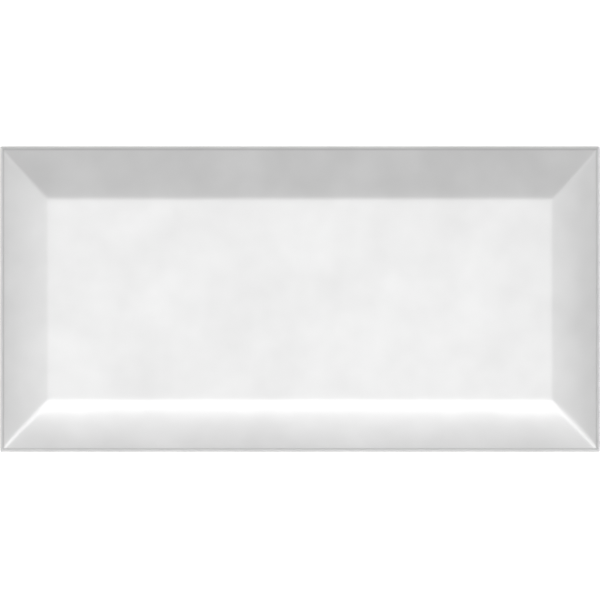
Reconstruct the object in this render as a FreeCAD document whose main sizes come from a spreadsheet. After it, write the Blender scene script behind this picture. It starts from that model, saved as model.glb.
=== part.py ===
# A glazed ceramic wall tile with four bevelled borders round a raised flat face.
# The tile is one pressed and fired piece. It lies on its back: X runs along its length, Y across
# its width and Z up through the glazed face. The origin is the middle of the back, on the floor.
# Lengths are in millimetres and angles in degrees.

import FreeCAD, Part
import Sketcher
import math
import os

PARTS_FOLDER = "parts"
NEAR = 1e-5
QUARTER_TURN = math.pi / 2

# Driving dimensions
SIZES = [
    ("tile_length", 200),
    ("tile_width", 102),
    ("tile_thickness", 8),
    ("corner_rounding", 0.7),
    ("end_bevel_width", 14.9),
    ("side_bevel_width", 16.6),
    ("bevel_drop", 3.1),
    ("bevel_crown", 0.2),
    ("ridge_rounding", 12),
    ("mitre_rounding", 7),
    ("foot_corner_rounding", 0.8),
    ("land_width", 0.9),
    ("land_step", 0.3),
    ("step_rounding", 0.1),
    ("arris_rounding", 0.6),
    ("back_border", 8),
    ("rib_width", 2),
    ("column_pairs", 4),
    ("row_pairs", 2),
    ("recess_depth", 0.7),
    ("recess_rounding", 1.5),
    ("recess_draft", 30),
    ("blank_margin", 6),
]

doc = FreeCAD.newDocument("bevelled_wall_tile")
sheet = doc.addObject("Spreadsheet::Sheet", "Sizes")
for row, (alias, value) in enumerate(SIZES, 1):
    sheet.set(f"A{row}", alias)
    sheet.set(f"B{row}", str(value))
    sheet.setAlias(f"B{row}", alias)
doc.recompute()

# Sizes that follow from the driving dimensions
BLANK_LENGTH = "(Sizes.tile_length + 2 * Sizes.blank_margin)"
BLANK_WIDTH = "(Sizes.tile_width + 2 * Sizes.blank_margin)"
CUSHION_LENGTH = "(Sizes.tile_length - 2 * Sizes.land_width)"
CUSHION_WIDTH = "(Sizes.tile_width - 2 * Sizes.land_width)"
FOOT_HEIGHT = "(Sizes.tile_thickness - Sizes.bevel_drop)"
LAND_HEIGHT = f"({FOOT_HEIGHT} - Sizes.land_step)"
BACK_LENGTH = "(Sizes.tile_length - 2 * Sizes.back_border + Sizes.rib_width)"
BACK_WIDTH = "(Sizes.tile_width - 2 * Sizes.back_border + Sizes.rib_width)"
COLUMNS = "(2 * round(Sizes.column_pairs))"
ROWS = "(2 * round(Sizes.row_pairs))"
COLUMN_PITCH = f"({BACK_LENGTH} / {COLUMNS})"
ROW_PITCH = f"({BACK_WIDTH} / {ROWS})"
RECESS_LENGTH = f"({COLUMN_PITCH} - Sizes.rib_width)"
RECESS_WIDTH = f"({ROW_PITCH} - Sizes.rib_width)"

# A rounding is never larger than the wall that it is on allows
STEP_RADIUS = "min(Sizes.step_rounding; Sizes.land_step / 3)"
ARRIS_ROOM = "min(Sizes.land_width - Sizes.step_rounding; Sizes.corner_rounding)"
ARRIS_RADIUS = f"min(Sizes.arris_rounding; 0.9 * {ARRIS_ROOM})"
RECESS_RADIUS = f"min(Sizes.recess_rounding; {RECESS_LENGTH} / 3; {RECESS_WIDTH} / 3)"


def reckon(formula):
    """The number that a formula of the sheet's sizes gives."""
    return float(sheet.evalExpression(formula))


def origin_part(body, role):
    """One of a body's own base planes or axes."""
    return next(part for part in body.Origin.OriginFeatures if part.Role == role)


def new_sketch(body, name, role):
    """An empty sketch on one of the body's base planes."""
    sketch = body.newObject("Sketcher::SketchObject", name)
    sketch.AttachmentSupport = [(origin_part(body, role), "")]
    sketch.MapMode = "FlatFace"
    return sketch


def tie(sketch, kind, *places):
    """Add a geometric constraint between places of a sketch."""
    sketch.addConstraint(Sketcher.Constraint(kind, *places))


def dimension(sketch, name, formula, kind, *places):
    """Add a named dimension to a sketch and bind it to the sheet."""
    index = sketch.addConstraint(Sketcher.Constraint(kind, *places, reckon(formula)))
    sketch.renameConstraint(index, name)
    sketch.setExpression(f"Constraints.{name}", formula)


def add_line(sketch, start, end):
    """Add a straight edge between two points of the sketch's plane."""
    return sketch.addGeometry(Part.LineSegment(FreeCAD.Vector(*start, 0), FreeCAD.Vector(*end, 0)))


def add_arc(sketch, centre, radius, start_angle, end_angle):
    """Add a round edge to the sketch's plane."""
    circle = Part.Circle(FreeCAD.Vector(*centre, 0), FreeCAD.Vector(0, 0, 1), radius)
    return sketch.addGeometry(Part.ArcOfCircle(circle, start_angle, end_angle))


def rectangle(sketch, name, length, width):
    """Draw a rectangle about the sketch's origin."""
    half_x = reckon(length) / 2
    half_y = reckon(width) / 2
    corners = [(-half_x, -half_y), (half_x, -half_y), (half_x, half_y), (-half_x, half_y)]
    lines = [add_line(sketch, *ends) for ends in zip(corners, corners[1:] + corners[:1])]
    for line, following in zip(lines, lines[1:] + lines[:1]):
        tie(sketch, "Coincident", line, 2, following, 1)
    bottom, right, top, left = lines
    tie(sketch, "Horizontal", bottom)
    tie(sketch, "Vertical", right)
    tie(sketch, "Horizontal", top)
    tie(sketch, "Vertical", left)
    tie(sketch, "Symmetric", bottom, 1, top, 1, -1, 1)
    dimension(sketch, f"{name}_length", length, "DistanceX", bottom, 1, bottom, 2)
    dimension(sketch, f"{name}_width", width, "DistanceY", right, 1, right, 2)


def rounded_rectangle(sketch, name, length, width, rounding):
    """Draw a rectangle with rounded corners about the sketch's origin."""
    radius = reckon(rounding)
    half_x = reckon(length) / 2
    half_y = reckon(width) / 2
    flat_x = half_x - radius
    flat_y = half_y - radius
    lines = [
        add_line(sketch, (-flat_x, -half_y), (flat_x, -half_y)),
        add_line(sketch, (half_x, -flat_y), (half_x, flat_y)),
        add_line(sketch, (flat_x, half_y), (-flat_x, half_y)),
        add_line(sketch, (-half_x, flat_y), (-half_x, -flat_y)),
    ]
    centres = [(flat_x, -flat_y), (flat_x, flat_y), (-flat_x, flat_y), (-flat_x, -flat_y)]
    arcs = [
        add_arc(sketch, centre, radius, (turn - 1) * QUARTER_TURN, turn * QUARTER_TURN)
        for turn, centre in enumerate(centres)
    ]
    for line, arc, following in zip(lines, arcs, lines[1:] + lines[:1]):
        tie(sketch, "Tangent", line, 2, arc, 1)
        tie(sketch, "Tangent", arc, 2, following, 1)
    bottom, right, top, left = lines
    tie(sketch, "Horizontal", bottom)
    tie(sketch, "Vertical", right)
    tie(sketch, "Horizontal", top)
    tie(sketch, "Vertical", left)
    tie(sketch, "Equal", arcs[0], arcs[2])
    tie(sketch, "Symmetric", arcs[0], 3, arcs[2], 3, -1, 1)
    dimension(sketch, f"{name}_length", length, "DistanceX", left, 1, right, 1)
    dimension(sketch, f"{name}_width", width, "DistanceY", bottom, 1, top, 1)
    dimension(sketch, f"{name}_rounding", rounding, "Radius", arcs[0])


def bevel_profile(sketch, half_size, bevel_width):
    """Draw what a bevel takes off the blank: its gently crowned slope and the space above it."""
    foot = f"({half_size} - Sizes.land_width)"
    ridge = f"({foot} - {bevel_width})"
    chord_squared = f"({bevel_width} ^ 2 + Sizes.bevel_drop ^ 2)"
    slope_radius = f"({chord_squared} / (8 * Sizes.bevel_crown) + Sizes.bevel_crown / 2)"
    rim = f"({half_size} + Sizes.blank_margin)"
    above = "(Sizes.tile_thickness + Sizes.blank_margin)"
    ridge_point = FreeCAD.Vector(reckon(ridge), reckon("Sizes.tile_thickness"), 0)
    foot_point = FreeCAD.Vector(reckon(foot), reckon(FOOT_HEIGHT), 0)
    chord = foot_point - ridge_point
    upward = FreeCAD.Vector(-chord.y, chord.x, 0).normalize()
    radius = reckon(slope_radius)
    centre = (ridge_point + foot_point) / 2 - upward * (radius - reckon("Sizes.bevel_crown"))
    rim_angle = math.acos((reckon(rim) - centre.x) / radius)
    ridge_angle = math.acos((ridge_point.x - centre.x) / radius)
    rim_foot = (reckon(rim), centre.y + radius * math.sin(rim_angle))
    rim_top = (reckon(rim), reckon(above))
    ridge_top = (reckon(ridge), reckon(above))

    slope = add_arc(sketch, (centre.x, centre.y), radius, rim_angle, ridge_angle)
    outer = add_line(sketch, rim_foot, rim_top)
    upper = add_line(sketch, rim_top, ridge_top)
    inner = add_line(sketch, ridge_top, (ridge_point.x, ridge_point.y))
    foot_mark = sketch.addGeometry(Part.Point(foot_point), True)
    tie(sketch, "Coincident", slope, 1, outer, 1)
    tie(sketch, "Coincident", outer, 2, upper, 1)
    tie(sketch, "Coincident", upper, 2, inner, 1)
    tie(sketch, "Coincident", inner, 2, slope, 2)
    tie(sketch, "Vertical", outer)
    tie(sketch, "Horizontal", upper)
    tie(sketch, "Vertical", inner)
    tie(sketch, "PointOnObject", foot_mark, 1, slope)
    dimension(sketch, "ridge_place", ridge, "DistanceX", -1, 1, inner, 2)
    dimension(sketch, "ridge_height", "Sizes.tile_thickness", "DistanceY", -1, 1, inner, 2)
    dimension(sketch, "foot_place", foot, "DistanceX", -1, 1, foot_mark, 1)
    dimension(sketch, "foot_height", FOOT_HEIGHT, "DistanceY", -1, 1, foot_mark, 1)
    dimension(sketch, "rim_place", rim, "DistanceX", -1, 1, outer, 1)
    dimension(sketch, "top_height", above, "DistanceY", -1, 1, outer, 2)
    dimension(sketch, "slope_radius", slope_radius, "Radius", slope)


def cut_bevel(body, name, section, half_size, width, run, mirror):
    """Cut a bevel along one side of the blank and mirror it to the opposite side."""
    profile = new_sketch(body, f"{name}_profile", section)
    bevel_profile(profile, half_size, width)
    pocket = body.newObject("PartDesign::Pocket", name)
    pocket.Profile = profile
    pocket.Midplane = True
    pocket.setExpression("Length", f"2 * {run}")
    opposite = body.newObject("PartDesign::Mirrored", f"{name}_opposite")
    opposite.Originals = [pocket]
    opposite.MirrorPlane = (origin_part(body, mirror), [""])
    body.Tip = opposite


def round_edges(body, name, base, test, radius):
    """Round the edges of a feature whose bounding boxes pass a test."""
    edges = [f"Edge{number}" for number, edge in enumerate(base.Shape.Edges, 1) if test(edge.BoundBox)]
    rounding = body.newObject("PartDesign::Fillet", name)
    rounding.Base = (base, edges)
    rounding.setExpression("Radius", radius)
    doc.recompute()
    return rounding


def row_of_recesses(body, name, axis, pitch, count):
    """Repeat the recess along an axis."""
    pattern = body.newObject("PartDesign::LinearPattern", name)
    pattern.Direction = (origin_part(body, axis), [""])
    pattern.Mode = "Spacing"
    pattern.setExpression("Offset", pitch)
    pattern.setExpression("Occurrences", count)
    return pattern


# The pressed form, larger than the tile all round so that its mitres run out past the outline
pressed_form = doc.addObject("PartDesign::Body", "pressed_form")
blank_outline = new_sketch(pressed_form, "blank_outline", "XY_Plane")
rectangle(blank_outline, "blank", BLANK_LENGTH, BLANK_WIDTH)
blank = pressed_form.newObject("PartDesign::Pad", "blank")
blank.Profile = blank_outline
blank.setExpression("Length", "Sizes.tile_thickness")
END = ("Sizes.tile_length / 2", "Sizes.end_bevel_width")
SIDE = ("Sizes.tile_width / 2", "Sizes.side_bevel_width")
cut_bevel(pressed_form, "end_bevel", "XZ_Plane", *END, BLANK_WIDTH, "YZ_Plane")
cut_bevel(pressed_form, "side_bevel", "YZ_Plane", *SIDE, BLANK_LENGTH, "XZ_Plane")
doc.recompute()

# The glaze rounds the ridges round the flat face, and the mitres less and less towards the corners
face_height = reckon("Sizes.tile_thickness")
ridge_radius = reckon("Sizes.ridge_rounding")
mitre_radius = reckon("Sizes.mitre_rounding")
roundings = []
for number, edge in enumerate(pressed_form.Shape.Edges, 1):
    ends = [edge.valueAt(edge.FirstParameter), edge.valueAt(edge.LastParameter)]
    on_face = [abs(end.z - face_height) < NEAR for end in ends]
    if any(on_face):
        radii = [ridge_radius if end_on_face else mitre_radius for end_on_face in on_face]
        roundings.append((number, *radii))
glazed_form = doc.addObject("Part::Fillet", "glazed_form")
glazed_form.Base = pressed_form
glazed_form.Edges = roundings
doc.recompute()

# The tile is the glazed form trimmed to the foot of its bevels, and a plate that reaches out past it.
# The plate's rim is a narrow flat land, a small step below the foot of the bevels.
tile = doc.addObject("PartDesign::Body", "wall_tile")
tile.Label = "wall_tile"
tile.BaseFeature = glazed_form
cushion_outline = new_sketch(tile, "cushion_outline", "XY_Plane")
rectangle(cushion_outline, "waste", f"2 * {BLANK_LENGTH}", f"2 * {BLANK_WIDTH}")
rounded_rectangle(cushion_outline, "kept", CUSHION_LENGTH, CUSHION_WIDTH, "Sizes.foot_corner_rounding")
cushion = tile.newObject("PartDesign::Pocket", "cushion")
cushion.Profile = cushion_outline
cushion.Reversed = True
cushion.setExpression("Length", "2 * Sizes.tile_thickness")
plate_outline = new_sketch(tile, "plate_outline", "XY_Plane")
PLATE = ("Sizes.tile_length", "Sizes.tile_width", "Sizes.corner_rounding")
rounded_rectangle(plate_outline, "plate", *PLATE)
plate = tile.newObject("PartDesign::Pad", "plate")
plate.Profile = plate_outline
plate.setExpression("Length", LAND_HEIGHT)
doc.recompute()

# The glaze softens the step and the outer edge of the land
land_height = reckon(LAND_HEIGHT)
foot_height = reckon(FOOT_HEIGHT)
cushion_x = reckon(CUSHION_LENGTH) / 2
cushion_y = reckon(CUSHION_WIDTH) / 2


def on_cushion(box):
    return max(box.XMax, -box.XMin) < cushion_x + NEAR and max(box.YMax, -box.YMin) < cushion_y + NEAR


def on_step(box):
    between = box.ZMin > land_height - NEAR and box.ZMax < foot_height + NEAR
    return on_cushion(box) and between and box.DiagonalLength > 2 * box.ZLength


def on_rim(box):
    return not on_cushion(box) and abs(box.ZMin - land_height) < NEAR and box.ZLength < NEAR


soft_step = round_edges(tile, "soft_step", plate, on_step, STEP_RADIUS)
arris = round_edges(tile, "arris", soft_step, on_rim, ARRIS_RADIUS)

# Shallow recesses in the back, between ribs that cross in the middle, give the adhesive a key
recess_outline = new_sketch(tile, "recess_outline", "XY_Plane")
recess_outline.setExpression("AttachmentOffset.Base.x", f"(1 - {COLUMNS}) / 2 * {COLUMN_PITCH}")
recess_outline.setExpression("AttachmentOffset.Base.y", f"(1 - {ROWS}) / 2 * {ROW_PITCH}")
rounded_rectangle(recess_outline, "recess", RECESS_LENGTH, RECESS_WIDTH, RECESS_RADIUS)
recess = tile.newObject("PartDesign::Pocket", "recess")
recess.Profile = recess_outline
recess.Reversed = True
recess.setExpression("Length", "Sizes.recess_depth")
recess.setExpression("TaperAngle", "-Sizes.recess_draft")
recess_grid = tile.newObject("PartDesign::MultiTransform", "recess_grid")
recess_grid.Originals = [recess]
recess_grid.Transformations = [
    row_of_recesses(tile, "recess_columns", "X_Axis", COLUMN_PITCH, COLUMNS),
    row_of_recesses(tile, "recess_rows", "Y_Axis", ROW_PITCH, ROWS),
]
tile.Tip = recess_grid
doc.recompute()

# Every object has to be sound, and each cut has to have taken something away
for item in doc.Objects:
    if "Invalid" in item.State or "Error" in item.State:
        raise RuntimeError(f"{item.Label} could not be made")
if tile.Shape.isNull() or not tile.Shape.isValid():
    raise RuntimeError(f"{tile.Label} is not a sound solid")
stages = [
    (blank, pressed_form),
    (glazed_form, cushion),
    (plate, arris),
    (arris, recess),
    (recess, recess_grid),
]
for before, after in stages:
    if after.Shape.Volume >= before.Shape.Volume:
        raise RuntimeError(f"{after.Label} takes nothing away")

os.makedirs(PARTS_FOLDER, exist_ok=True)
tile.Shape.exportStep(os.path.join(PARTS_FOLDER, f"{tile.Label}.step"))
print(f"{tile.Label}: {tile.Shape.Volume / 1000:.2f} cubic centimetres")
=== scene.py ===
# The looks of a white glazed wall tile that lies on its back under a soft studio light.
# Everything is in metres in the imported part's own frame: X along the tile, Y across it, Z up.

import bmesh
import bpy
import math
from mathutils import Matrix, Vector


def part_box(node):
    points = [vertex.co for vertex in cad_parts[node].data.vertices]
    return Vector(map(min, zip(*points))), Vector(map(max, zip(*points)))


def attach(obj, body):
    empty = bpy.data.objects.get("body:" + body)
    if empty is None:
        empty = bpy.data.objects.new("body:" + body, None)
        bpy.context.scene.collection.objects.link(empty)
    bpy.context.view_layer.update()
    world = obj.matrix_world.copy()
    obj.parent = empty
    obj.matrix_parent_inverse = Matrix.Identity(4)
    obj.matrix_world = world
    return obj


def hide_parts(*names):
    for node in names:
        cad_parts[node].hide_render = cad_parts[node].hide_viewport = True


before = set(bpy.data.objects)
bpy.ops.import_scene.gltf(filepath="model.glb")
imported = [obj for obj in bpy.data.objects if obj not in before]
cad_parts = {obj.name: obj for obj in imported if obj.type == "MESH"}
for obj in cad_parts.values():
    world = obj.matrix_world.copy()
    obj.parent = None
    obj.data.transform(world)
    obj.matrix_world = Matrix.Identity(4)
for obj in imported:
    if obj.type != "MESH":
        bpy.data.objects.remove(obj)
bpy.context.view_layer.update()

MM = 0.001
# Places nearer than TINY are the same, and a face is flat if its normal is upright by at least LEVEL
TINY = 0.01 * MM
LEVEL = 0.999
X_AXIS = Vector((1, 0, 0))
Y_AXIS = Vector((0, 1, 0))
Z_AXIS = Vector((0, 0, 1))

# The tile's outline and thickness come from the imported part
lowest_corner, highest_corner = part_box("wall_tile")
HALF_LENGTH = (highest_corner.x - lowest_corner.x) / 2
HALF_WIDTH = (highest_corner.y - lowest_corner.y) / 2
THICKNESS = highest_corner.z - lowest_corner.z

# The pressed face: a narrow land round the foot of four crowned bevels, a small step below it
CORNER_ROUNDING = 0.7 * MM
ARRIS_ROUNDING = 0.6 * MM
LAND_WIDTH = 0.9 * MM
LAND_FALL = 0.25 * MM
STEP_HEIGHT = 0.3 * MM
STEP_RUN = 0.3 * MM
END_BEVEL_WIDTH = 14.9 * MM
SIDE_BEVEL_WIDTH = 16.6 * MM
BEVEL_DROP = 3.1 * MM
BEVEL_CROWN = 0.2 * MM
STEP_PLACE = LAND_WIDTH - STEP_RUN / 2
FOOT_HEIGHT = THICKNESS - BEVEL_DROP
LAND_HEIGHT = FOOT_HEIGHT - STEP_HEIGHT
ARRIS_FOOT = LAND_HEIGHT - ARRIS_ROUNDING

# The edges: the glaze stops short of the back in an uneven line, a little proud of the bare body
GLAZE_LINE_HEIGHT = 1.7 * MM
GLAZE_BEAD_HEIGHT = 0.2 * MM
GLAZE_BUILD = 0.07 * MM
GLAZE_LINE_WANDER = 1.1 * MM
GLAZE_LINE_WAVE = 14 * MM
GLAZE_LINE_TOP = GLAZE_LINE_HEIGHT + GLAZE_BEAD_HEIGHT
BACK_ARRIS = 0.3 * MM
BACK_ARRIS_SEGMENTS = 2

# The back: recesses between ribs that cross in the middle
BACK_BORDER = 8 * MM
RIB_WIDTH = 2 * MM
RECESS_COLUMNS = 8
RECESS_ROWS = 4
RECESS_DEPTH = 0.7 * MM
RECESS_DRAFT_RUN = 0.4 * MM
RECESS_CORNER = 1.3 * MM
RECESS_CORNER_SEGMENTS = 4

# The fine grid of the surface. One subdivide makes at most 100 cuts, and the tile is about twice as long
# as it is wide, so the cells along its length are halved by one more cut.
BEVEL_RINGS = 30
STEP_RINGS = 5
CORNER_SEGMENTS = 6
ARRIS_SEGMENTS = 4
GRID_CUTS = 99
HALVING_CUTS = 1
SHORTEST_RUN = 1 * MM
SMOOTH_ANGLE = math.radians(35)

# How the melted glaze evens out the ridges and mitres, and ripples. A displacement's rest is the level
# of its pattern that moves nothing: at the top the ripple only lowers the face, half-way the lower line
# wanders both ways, and at the bottom the land, which has no pattern, falls by all its strength.
FLOW_MARGIN = 0.4 * MM
FLOW_WIDTH = 1.5 * MM
FLOW_STRENGTH = 0.5
FLOW_PASSES = 8
GLAZE_WAVE = 20 * MM
GLAZE_WAVE_DEPTH = 0.08 * MM
RIPPLE_REST = 1
LINE_REST = 0.5
LAND_REST = 0


def pick(part, kind, test):
    """In edit mode, select only the vertices, edges or faces that pass a test."""
    mesh = bmesh.from_edit_mesh(part.data)
    bpy.ops.mesh.select_all(action="DESELECT")
    bpy.ops.mesh.select_mode(type=kind)
    for item in {"VERT": mesh.verts, "EDGE": mesh.edges, "FACE": mesh.faces}[kind]:
        if test(item):
            item.select_set(True)
    bmesh.update_edit_mesh(part.data)


def is_flat(face, height, facing):
    """Whether a face lies at a height and looks straight up, 1, or straight down, -1."""
    return abs(face.calc_center_median().z - height) < TINY and face.normal.z * facing > LEVEL


def is_upright(edge):
    """Whether an edge stands upright."""
    run = edge.verts[1].co - edge.verts[0].co
    return abs(run.z) > TINY and abs(run.x) < TINY and abs(run.y) < TINY


def is_rim(edge, height, facing):
    """Whether an edge parts a flat face at a height from an upright face."""
    flat = any(is_flat(face, height, facing) for face in edge.link_faces)
    upright = any(abs(face.normal.z) < 1 - LEVEL for face in edge.link_faces)
    return flat and upright


def runs_along(edge, axis):
    """Whether an edge of the glazed surface is a run along an axis, long enough to be cut."""
    run = edge.verts[1].co - edge.verts[0].co
    glazed = min(edge.verts[0].co.z, edge.verts[1].co.z) > GLAZE_LINE_HEIGHT - TINY
    return glazed and run.length > SHORTEST_RUN and abs(run.dot(axis)) > run.length - TINY


def depth_inside(place, half_length, half_width):
    """How far a place lies inside, or if negative outside, an upright rectangular wall."""
    return min(half_length - abs(place.x), half_width - abs(place.y))


def add_block(name, half_length, half_width, height):
    """Start a piece as a block that stands on the floor."""
    bpy.ops.object.select_all(action="DESELECT")
    bpy.ops.mesh.primitive_cube_add(
        size=1,
        location=(0, 0, height / 2),
        scale=(2 * half_length, 2 * half_width, height),
    )
    bpy.ops.object.transform_apply(location=True, rotation=True, scale=True)
    block = bpy.context.active_object
    block.name = name
    block.data.name = name
    return block


def close_corners(radius):
    """Inset the selected face until its rounded corners close, and make each one point."""
    bpy.ops.mesh.inset(thickness=radius, depth=0)
    bpy.ops.mesh.remove_doubles(threshold=radius / CORNER_SEGMENTS)


def shape_outline(tile):
    """Round the block's upright corners, and break the sharp edge of its back."""
    pick(tile, "EDGE", is_upright)
    bpy.ops.mesh.bevel(offset=CORNER_ROUNDING, segments=CORNER_SEGMENTS, affect="EDGES")
    pick(tile, "EDGE", lambda edge: is_rim(edge, 0, -1))
    bpy.ops.mesh.bevel(offset=BACK_ARRIS, segments=BACK_ARRIS_SEGMENTS, affect="EDGES")


def press_back(tile):
    """Press a grid of shallow recesses into the back, with ribs between them and a border round them."""
    field_length = HALF_LENGTH - BACK_BORDER + RIB_WIDTH / 2
    field_width = HALF_WIDTH - BACK_BORDER + RIB_WIDTH / 2
    cuts = [
        (axis, half_size * (2 * cut / count - 1))
        for axis, half_size, count in [
            (X_AXIS, field_length, RECESS_COLUMNS),
            (Y_AXIS, field_width, RECESS_ROWS),
        ]
        for cut in range(1, count)
    ]

    def in_field(face):
        inside = depth_inside(face.calc_center_median(), field_length, field_width) > TINY
        return is_flat(face, 0, -1) and inside

    pick(tile, "FACE", lambda face: is_flat(face, 0, -1))
    close_corners(CORNER_ROUNDING - BACK_ARRIS)
    pick(tile, "FACE", in_field)
    bpy.ops.mesh.inset(thickness=HALF_LENGTH - CORNER_ROUNDING - field_length, depth=0)
    for axis, distance in cuts:
        pick(tile, "FACE", in_field)
        bpy.ops.mesh.bisect(plane_co=axis * distance, plane_no=axis)
    pick(tile, "FACE", in_field)
    bpy.ops.mesh.inset(thickness=RIB_WIDTH / 2, depth=0, use_individual=True)
    bpy.ops.mesh.inset(thickness=RECESS_DRAFT_RUN, depth=-RECESS_DEPTH, use_individual=True)

    def is_recess_corner(edge):
        heights = sorted(corner.co.z for corner in edge.verts)
        inside = depth_inside(edge.verts[0].co, field_length, field_width) > TINY
        return inside and heights[0] < TINY and heights[1] > RECESS_DEPTH - TINY

    pick(tile, "EDGE", is_recess_corner)
    bpy.ops.mesh.bevel(offset=RECESS_CORNER, segments=RECESS_CORNER_SEGMENTS, affect="EDGES")


def bevel_rise(share):
    """How far a crowned bevel has risen at a share of its width from its foot."""
    return BEVEL_DROP * share + 4 * BEVEL_CROWN * share * (1 - share)


def step_rise(share):
    """How far the soft step has risen at a share of its run, up to where the bevel takes over."""
    full_rise = STEP_HEIGHT + bevel_rise(STEP_RUN / 2 / END_BEVEL_WIDTH)
    return full_rise * share * share * (3 - 2 * share)


def press_face(tile):
    """Raise the face: a narrow land with a rounded arris, a soft step and four crowned bevels."""
    pick(tile, "FACE", lambda face: is_flat(face, LAND_HEIGHT, 1))
    close_corners(CORNER_ROUNDING)
    bpy.ops.mesh.inset(thickness=STEP_PLACE - CORNER_ROUNDING, depth=0)
    for ring in range(STEP_RINGS):
        rise = step_rise((ring + 1) / STEP_RINGS) - step_rise(ring / STEP_RINGS)
        bpy.ops.mesh.inset(thickness=STEP_RUN / STEP_RINGS, depth=rise)

    # The corner at the right and back of the raised face gives its size and height so far
    raised = [vertex.co for vertex in bmesh.from_edit_mesh(tile.data).verts if vertex.select]
    half_length, half_width, height = max(raised, key=sum)
    for ring in range(1, BEVEL_RINGS + 1):
        share = ring / BEVEL_RINGS
        next_length = HALF_LENGTH - LAND_WIDTH - share * END_BEVEL_WIDTH
        next_width = HALF_WIDTH - LAND_WIDTH - share * SIDE_BEVEL_WIDTH
        next_height = FOOT_HEIGHT + bevel_rise(share)
        bpy.ops.mesh.extrude_region_move(
            TRANSFORM_OT_translate={"value": (0, 0, next_height - height)}
        )
        bpy.ops.transform.resize(
            value=(next_length / half_length, next_width / half_width, 1),
            center_override=(0, 0, next_height),
        )
        half_length, half_width, height = next_length, next_width, next_height

    pick(tile, "EDGE", lambda edge: is_rim(edge, LAND_HEIGHT, 1))
    bpy.ops.mesh.bevel(offset=ARRIS_ROUNDING, segments=ARRIS_SEGMENTS, affect="EDGES")


def lay_grid(tile):
    """Cut the glazed surface into a fine grid that follows the bevels."""
    for height in [GLAZE_LINE_HEIGHT, GLAZE_LINE_TOP]:
        bpy.ops.mesh.select_all(action="SELECT")
        bpy.ops.mesh.bisect(plane_co=(0, 0, height), plane_no=Z_AXIS)
    for axis, cuts in [(X_AXIS, GRID_CUTS), (X_AXIS, HALVING_CUTS), (Y_AXIS, GRID_CUTS)]:
        pick(tile, "EDGE", lambda edge: runs_along(edge, axis))
        bpy.ops.mesh.subdivide(number_cuts=cuts)


def draw_in_bare_edge(tile):
    """Draw the bare lower part of the edges in, so that the glaze stands a little proud of it."""
    pick(tile, "VERT", lambda vertex: vertex.co.z < GLAZE_LINE_HEIGHT + TINY)
    bpy.ops.transform.resize(
        value=(1 - GLAZE_BUILD / HALF_LENGTH, 1 - GLAZE_BUILD / HALF_WIDTH, 1),
        center_override=(0, 0, 0),
    )


def face_weight(place, margin, width):
    """How far up the face a place is: nothing to a margin past the land, and all a width further in."""
    if place.z < FOOT_HEIGHT:
        return 0
    inside = depth_inside(place, HALF_LENGTH, HALF_WIDTH) - LAND_WIDTH
    return (inside - margin) / width


def land_weight(place):
    """How far the land has fallen at a place, from nothing at the step to all at the outline."""
    if place.z < ARRIS_FOOT - TINY:
        return 0
    return 1 - depth_inside(place, HALF_LENGTH, HALF_WIDTH) / STEP_PLACE


def line_weight(place):
    """Whether a place is on the glaze's lower line."""
    return GLAZE_LINE_HEIGHT - TINY < place.z < GLAZE_LINE_TOP + TINY


def add_weights(tile, name, weigh):
    """Give the piece a vertex group whose weight is worked out from each vertex's place."""
    group = tile.vertex_groups.new(name=name)
    for vertex in tile.data.vertices:
        weight = weigh(vertex.co)
        if weight > 0:
            group.add([vertex.index], min(weight, 1), "REPLACE")
    return name


def apply_modifier(tile, kind, **settings):
    """Add a modifier with its settings, and apply it."""
    modifier = tile.modifiers.new(name=kind.lower(), type=kind)
    for name, value in settings.items():
        setattr(modifier, name, value)
    bpy.ops.object.modifier_apply(modifier=modifier.name)


def cloud_texture(name, size):
    """A soft cloud pattern of a real size."""
    texture = bpy.data.textures.new(name, type="CLOUDS")
    texture.noise_scale = size
    return texture


def flow_glaze(tile):
    """Let the melted glaze round the ridges and mitres, ripple the face and end in an uneven line."""
    flow = add_weights(tile, "glaze_flow", lambda place: face_weight(place, FLOW_MARGIN, FLOW_WIDTH))
    ripple = add_weights(tile, "glaze_ripple", lambda place: face_weight(place, 0, END_BEVEL_WIDTH))
    land = add_weights(tile, "land_fall", land_weight)
    line = add_weights(tile, "glaze_line", line_weight)
    apply_modifier(tile, "SMOOTH", factor=FLOW_STRENGTH, iterations=FLOW_PASSES, vertex_group=flow)
    apply_modifier(
        tile,
        "DISPLACE",
        direction="Z",
        mid_level=LAND_REST,
        strength=-LAND_FALL,
        vertex_group=land,
    )
    apply_modifier(
        tile,
        "DISPLACE",
        texture=cloud_texture("glaze_ripple", GLAZE_WAVE),
        direction="Z",
        mid_level=RIPPLE_REST,
        strength=GLAZE_WAVE_DEPTH,
        vertex_group=ripple,
    )
    apply_modifier(
        tile,
        "DISPLACE",
        texture=cloud_texture("glaze_line_wander", GLAZE_LINE_WAVE),
        direction="Z",
        mid_level=LINE_REST,
        strength=GLAZE_LINE_WANDER,
        vertex_group=line,
    )


def linear_colour(hex_colour):
    """Turn an sRGB hex colour into linear red, green, blue and alpha, by the sRGB standard's curve."""
    channels = [int(hex_colour[place:place + 2], 16) / 255 for place in (1, 3, 5)]
    return [c / 12.92 if c <= 0.04045 else ((c + 0.055) / 1.055) ** 2.4 for c in channels] + [1]


def add_node(tree, kind, inputs, **settings):
    """Add a node with its settings, and set or link its inputs."""
    node = tree.nodes.new(kind)
    for name, value in settings.items():
        setattr(node, name, value)
    for name, value in inputs.items():
        if isinstance(value, bpy.types.NodeSocket):
            tree.links.new(value, node.inputs[name])
        else:
            node.inputs[name].default_value = value
    return node


def new_material(name):
    """An empty node material."""
    material = bpy.data.materials.new(name)
    material.use_nodes = True
    material.node_tree.nodes.clear()
    return material


# The numbered sockets of a Mix node that mixes two colours by a share
MIX_SHARE = 0
MIX_FROM = 6
MIX_TO = 7
MIX_RESULT = 2

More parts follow.
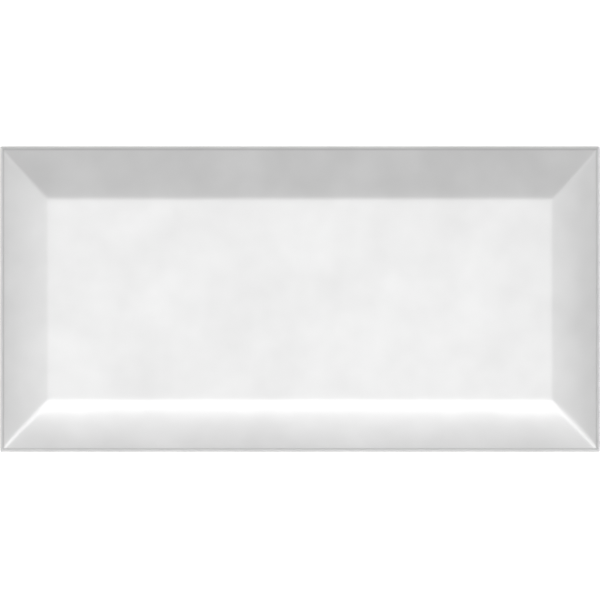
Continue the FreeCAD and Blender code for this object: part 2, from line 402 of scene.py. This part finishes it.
# The glaze is a little greyer where it is thin. Along the step, at its place inside the outline, a
# darker line is painted in: painted shade for the crease.
# Its orange peel is a few millimetres across, and its clouds about two centimetres.
GLAZE_CLOUD = 18 * MM
GLAZE_CLOUD_DETAIL = 2
GLAZE_CLOUD_ROUGHNESS = 0.5
GLAZE_THIN_TONE = "#D9D9D9"
GLAZE_THICK_TONE = "#F2F2F2"
STEP_SHADE_TONE = "#CCCCCC"
STEP_SHADE_PLACE = 1.05 * MM
STEP_SHADE_SPREAD = 0.6 * MM
GLAZE_ROUGHNESS = 0.12
GLAZE_IOR = 1.65
SKIN_ROUGHNESS = 0.04
SKIN_IOR = 1.55
PEEL_SIZE = 4 * MM
PEEL_DETAIL = 1
PEEL_ROUGHNESS = 0.4
PEEL_DEPTH = 0.02 * MM
PEEL_STRENGTH = 0.15


def white_gloss_glaze():
    """Zirconium-white ceramic glaze, sprayed on and fired glossy: smooth, deep and faintly uneven."""
    material = new_material("white_gloss_glaze")
    tree = material.node_tree
    place = add_node(tree, "ShaderNodeTexCoord", {}).outputs["Object"]
    clouds = add_node(
        tree,
        "ShaderNodeTexNoise",
        {
            "Vector": place,
            "Scale": 1 / GLAZE_CLOUD,
            "Detail": GLAZE_CLOUD_DETAIL,
            "Roughness": GLAZE_CLOUD_ROUGHNESS,
        },
    )
    tone = add_node(
        tree,
        "ShaderNodeMix",
        {
            MIX_SHARE: clouds.outputs["Fac"],
            MIX_FROM: linear_colour(GLAZE_THIN_TONE),
            MIX_TO: linear_colour(GLAZE_THICK_TONE),
        },
        data_type="RGBA",
    )
    # Painted shade: the base colour darkens to a thin line at the step's distance in from the outline,
    # standing in for the shade in the crease
    from_middle = add_node(tree, "ShaderNodeVectorMath", {0: place}, operation="ABSOLUTE")
    inside = add_node(
        tree,
        "ShaderNodeVectorMath",
        {0: (HALF_LENGTH, HALF_WIDTH, 0), 1: from_middle.outputs["Vector"]},
        operation="SUBTRACT",
    )
    sides = add_node(tree, "ShaderNodeSeparateXYZ", {"Vector": inside.outputs["Vector"]})
    nearest = add_node(
        tree, "ShaderNodeMath", {0: sides.outputs["X"], 1: sides.outputs["Y"]}, operation="MINIMUM"
    )
    past_step = add_node(
        tree,
        "ShaderNodeMath",
        {0: nearest.outputs["Value"], 1: STEP_SHADE_PLACE},
        operation="SUBTRACT",
    )
    off_step = add_node(tree, "ShaderNodeMath", {0: past_step.outputs["Value"]}, operation="ABSOLUTE")
    painted_step_shade = add_node(
        tree,
        "ShaderNodeMapRange",
        {
            "Value": off_step.outputs["Value"],
            "From Min": 0,
            "From Max": STEP_SHADE_SPREAD,
            "To Min": 1,
            "To Max": 0,
        },
        interpolation_type="SMOOTHSTEP",
    )
    colour = add_node(
        tree,
        "ShaderNodeMix",
        {
            MIX_SHARE: painted_step_shade.outputs["Result"],
            MIX_FROM: tone.outputs[MIX_RESULT],
            MIX_TO: linear_colour(STEP_SHADE_TONE),
        },
        data_type="RGBA",
    )
    peel = add_node(
        tree,
        "ShaderNodeTexNoise",
        {
            "Vector": place,
            "Scale": 1 / PEEL_SIZE,
            "Detail": PEEL_DETAIL,
            "Roughness": PEEL_ROUGHNESS,
        },
    )
    bump = add_node(
        tree,
        "ShaderNodeBump",
        {"Height": peel.outputs["Fac"], "Strength": PEEL_STRENGTH, "Distance": PEEL_DEPTH},
    )
    glaze = add_node(
        tree,
        "ShaderNodeBsdfPrincipled",
        {
            "Base Color": colour.outputs[MIX_RESULT],
            "Roughness": GLAZE_ROUGHNESS,
            "IOR": GLAZE_IOR,
            "Coat Weight": 1,
            "Coat Roughness": SKIN_ROUGHNESS,
            "Coat IOR": SKIN_IOR,
            "Normal": bump.outputs["Normal"],
            "Coat Normal": bump.outputs["Normal"],
        },
    )
    add_node(tree, "ShaderNodeOutputMaterial", {"Surface": glaze.outputs["BSDF"]})
    return material


# The fired body's powder grains are drawn coarser than the real 0.1 mm or so, so that they show
BODY_GRAIN = 0.8 * MM
BODY_GRAIN_DETAIL = 4
BODY_GRAIN_ROUGHNESS = 0.7
BODY_GRAIN_DEPTH = 0.05 * MM
BODY_GRAIN_STRENGTH = 0.6
BODY_DARK_TONE = "#D3C8B6"
BODY_PALE_TONE = "#EBE4D8"
BODY_ROUGHNESS = 0.85
BODY_IOR = 1.5


def pressed_biscuit():
    """Pale earthenware body, pressed from damp powder and fired: matt, chalky and finely grained."""
    material = new_material("pressed_biscuit")
    tree = material.node_tree
    place = add_node(tree, "ShaderNodeTexCoord", {}).outputs["Object"]
    grain = add_node(
        tree,
        "ShaderNodeTexNoise",
        {
            "Vector": place,
            "Scale": 1 / BODY_GRAIN,
            "Detail": BODY_GRAIN_DETAIL,
            "Roughness": BODY_GRAIN_ROUGHNESS,
        },
    )
    tone = add_node(
        tree,
        "ShaderNodeMix",
        {
            MIX_SHARE: grain.outputs["Fac"],
            MIX_FROM: linear_colour(BODY_DARK_TONE),
            MIX_TO: linear_colour(BODY_PALE_TONE),
        },
        data_type="RGBA",
    )
    bump = add_node(
        tree,
        "ShaderNodeBump",
        {
            "Height": grain.outputs["Fac"],
            "Strength": BODY_GRAIN_STRENGTH,
            "Distance": BODY_GRAIN_DEPTH,
        },
    )
    body = add_node(
        tree,
        "ShaderNodeBsdfPrincipled",
        {
            "Base Color": tone.outputs[MIX_RESULT],
            "Roughness": BODY_ROUGHNESS,
            "IOR": BODY_IOR,
            "Normal": bump.outputs["Normal"],
        },
    )
    add_node(tree, "ShaderNodeOutputMaterial", {"Surface": body.outputs["BSDF"]})
    return material


def spray_glaze(tile):
    """Glaze the face and the edges down to the glaze's lower line, and leave the rest bare."""
    tile.data.materials.append(white_gloss_glaze())
    tile.data.materials.append(pressed_biscuit())
    for face in tile.data.polygons:
        lowest = min(tile.data.vertices[corner].co.z for corner in face.vertices)
        face.material_index = 0 if lowest > GLAZE_LINE_HEIGHT - TINY else 1


def model_tile():
    """Model the tile from one block, as the press and then the melted glaze shape it."""
    tile = add_block("glazed_tile", HALF_LENGTH, HALF_WIDTH, LAND_HEIGHT)
    bpy.ops.object.mode_set(mode="EDIT")
    shape_outline(tile)
    press_back(tile)
    press_face(tile)
    lay_grid(tile)
    draw_in_bare_edge(tile)
    bpy.ops.object.mode_set(mode="OBJECT")
    spray_glaze(tile)
    flow_glaze(tile)
    bpy.ops.object.shade_smooth_by_angle(angle=SMOOTH_ANGLE)
    return tile


# The studio. The light is one large soft box overhead in a pale room. The box's columns and rows give
# its brightness at a slant, which is how far to the right or to the back for each step up: it is
# brightest in a row a little to the front. The room's bands give its brightness at a height: a lit floor
# round the tile, dim low walls, a pale band half-way up and a dim ceiling. Its lean makes it brighter in
# front. A reach is the largest slant or height that is told apart.
BOX_RADIANCE = 5.8
BOX_REACH = 0.8
BOX_COLUMNS = [
    (-0.68, 0), (-0.54, 0.27), (-0.33, 0.64), (-0.2, 0.66), (0, 1),
    (0.2, 0.56), (0.34, 0.55), (0.41, 0.42), (0.5, 0.14), (0.7, 0),
]
BOX_ROWS = [
    (-0.8, 0), (-0.48, 0.13), (-0.39, 0.34), (-0.345, 0.56), (-0.325, 0.86),
    (-0.2, 0.86), (-0.12, 0.64), (0, 0.51), (0.18, 0.19), (0.32, 0),
]
LOWEST_BOX_LIGHT = 0.05
ROOM_BANDS = [
    (0, 0.8), (0.14, 0.32), (0.43, 0.32), (0.5, 0.75), (0.7, 0.75), (0.82, 0.13), (1, 0.13),
]
ROOM_REACH = 1
ROOM_LEAN = 0.35
WHITE = "#FFFFFF"
FLOOR_SIZE = 40
FLOOR_TONE = "#C8C8C8"
FLOOR_ROUGHNESS = 0.9
FLOOR_GLOW = 0.75
CAMERA_HEIGHT = 6
CAMERA_SHIFT_DOWN = 0.27 * MM
CAMERA_NEAR = 0.1
CAMERA_FAR = 20


def lay_floor():
    """Lay a plain pale sheet under the tile, which glows a little and so comes out white."""
    bpy.ops.object.select_all(action="DESELECT")
    bpy.ops.mesh.primitive_plane_add(size=FLOOR_SIZE)
    floor = bpy.context.active_object
    floor.name = "studio_floor"
    paper = new_material("white_paper")
    surface = add_node(
        paper.node_tree,
        "ShaderNodeBsdfPrincipled",
        {
            "Base Color": linear_colour(FLOOR_TONE),
            "Roughness": FLOOR_ROUGHNESS,
            "Specular IOR Level": 0,
            "Emission Color": linear_colour(WHITE),
            "Emission Strength": FLOOR_GLOW,
        },
    )
    add_node(paper.node_tree, "ShaderNodeOutputMaterial", {"Surface": surface.outputs["BSDF"]})
    floor.data.materials.append(paper)


def light_studio():
    """Light the tile from all round with the soft box and the room."""
    world = bpy.data.worlds.new("studio")
    world.use_nodes = True
    bpy.context.scene.world = world
    bpy.context.scene.view_settings.view_transform = "Standard"
    sky = world.node_tree
    sky.nodes.clear()

    way = add_node(sky, "ShaderNodeTexCoord", {}).outputs["Generated"]
    parts = add_node(sky, "ShaderNodeSeparateXYZ", {"Vector": way}).outputs
    height = parts["Z"]
    right = add_node(sky, "ShaderNodeMath", {0: parts["X"], 1: height}, operation="DIVIDE")
    back = add_node(sky, "ShaderNodeMath", {0: parts["Y"], 1: height}, operation="DIVIDE")
    levels = []
    for measure, reach, stops in [
        (right.outputs["Value"], BOX_REACH, BOX_COLUMNS),
        (back.outputs["Value"], BOX_REACH, BOX_ROWS),
        (height, ROOM_REACH, ROOM_BANDS),
    ]:
        share = add_node(
            sky,
            "ShaderNodeMapRange",
            {"Value": measure, "From Min": -reach, "From Max": reach, "To Min": 0, "To Max": 1},
        )
        profile = add_node(sky, "ShaderNodeValToRGB", {"Fac": share.outputs["Result"]})
        ramp = profile.color_ramp.elements
        while len(ramp) < len(stops):
            ramp.new(1)
        for stop, (place, level) in zip(ramp, stops):
            stop.position = (place / reach + 1) / 2
            stop.color = (level, level, level, 1)
        levels.append(profile.outputs["Color"])
    columns, rows, room = levels

    above = add_node(sky, "ShaderNodeMath", {0: height, 1: LOWEST_BOX_LIGHT}, operation="GREATER_THAN")
    box = columns
    for factor in [rows, above.outputs["Value"], BOX_RADIANCE]:
        box = add_node(sky, "ShaderNodeMath", {0: box, 1: factor}, operation="MULTIPLY").outputs["Value"]
    lean = add_node(
        sky,
        "ShaderNodeMapRange",
        {
            "Value": parts["Y"],
            "From Min": -1,
            "From Max": 1,
            "To Min": 1 + ROOM_LEAN,
            "To Max": 1 - ROOM_LEAN,
        },
    )
    walls = add_node(sky, "ShaderNodeMath", {0: room, 1: lean.outputs["Result"]}, operation="MULTIPLY")
    radiance = add_node(sky, "ShaderNodeMath", {0: box, 1: walls.outputs["Value"]}, operation="ADD")
    backdrop = add_node(
        sky,
        "ShaderNodeBackground",
        {"Color": linear_colour(WHITE), "Strength": radiance.outputs["Value"]},
    )
    add_node(sky, "ShaderNodeOutputWorld", {"Surface": backdrop.outputs["Background"]})


def set_camera():
    """Look straight down on the tile, which spans the picture's width a hair above its middle."""
    lens = bpy.data.cameras.new("overhead_camera")
    lens.lens = lens.sensor_width * (CAMERA_HEIGHT - LAND_HEIGHT) / (2 * HALF_LENGTH)
    lens.clip_start = CAMERA_NEAR
    lens.clip_end = CAMERA_FAR
    camera = bpy.data.objects.new("overhead_camera", lens)
    camera.location = (0, -CAMERA_SHIFT_DOWN, CAMERA_HEIGHT)
    bpy.context.scene.collection.objects.link(camera)
    bpy.context.scene.camera = camera


tile = model_tile()
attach(tile, "root")
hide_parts("wall_tile")

lay_floor()
light_studio()
set_camera()
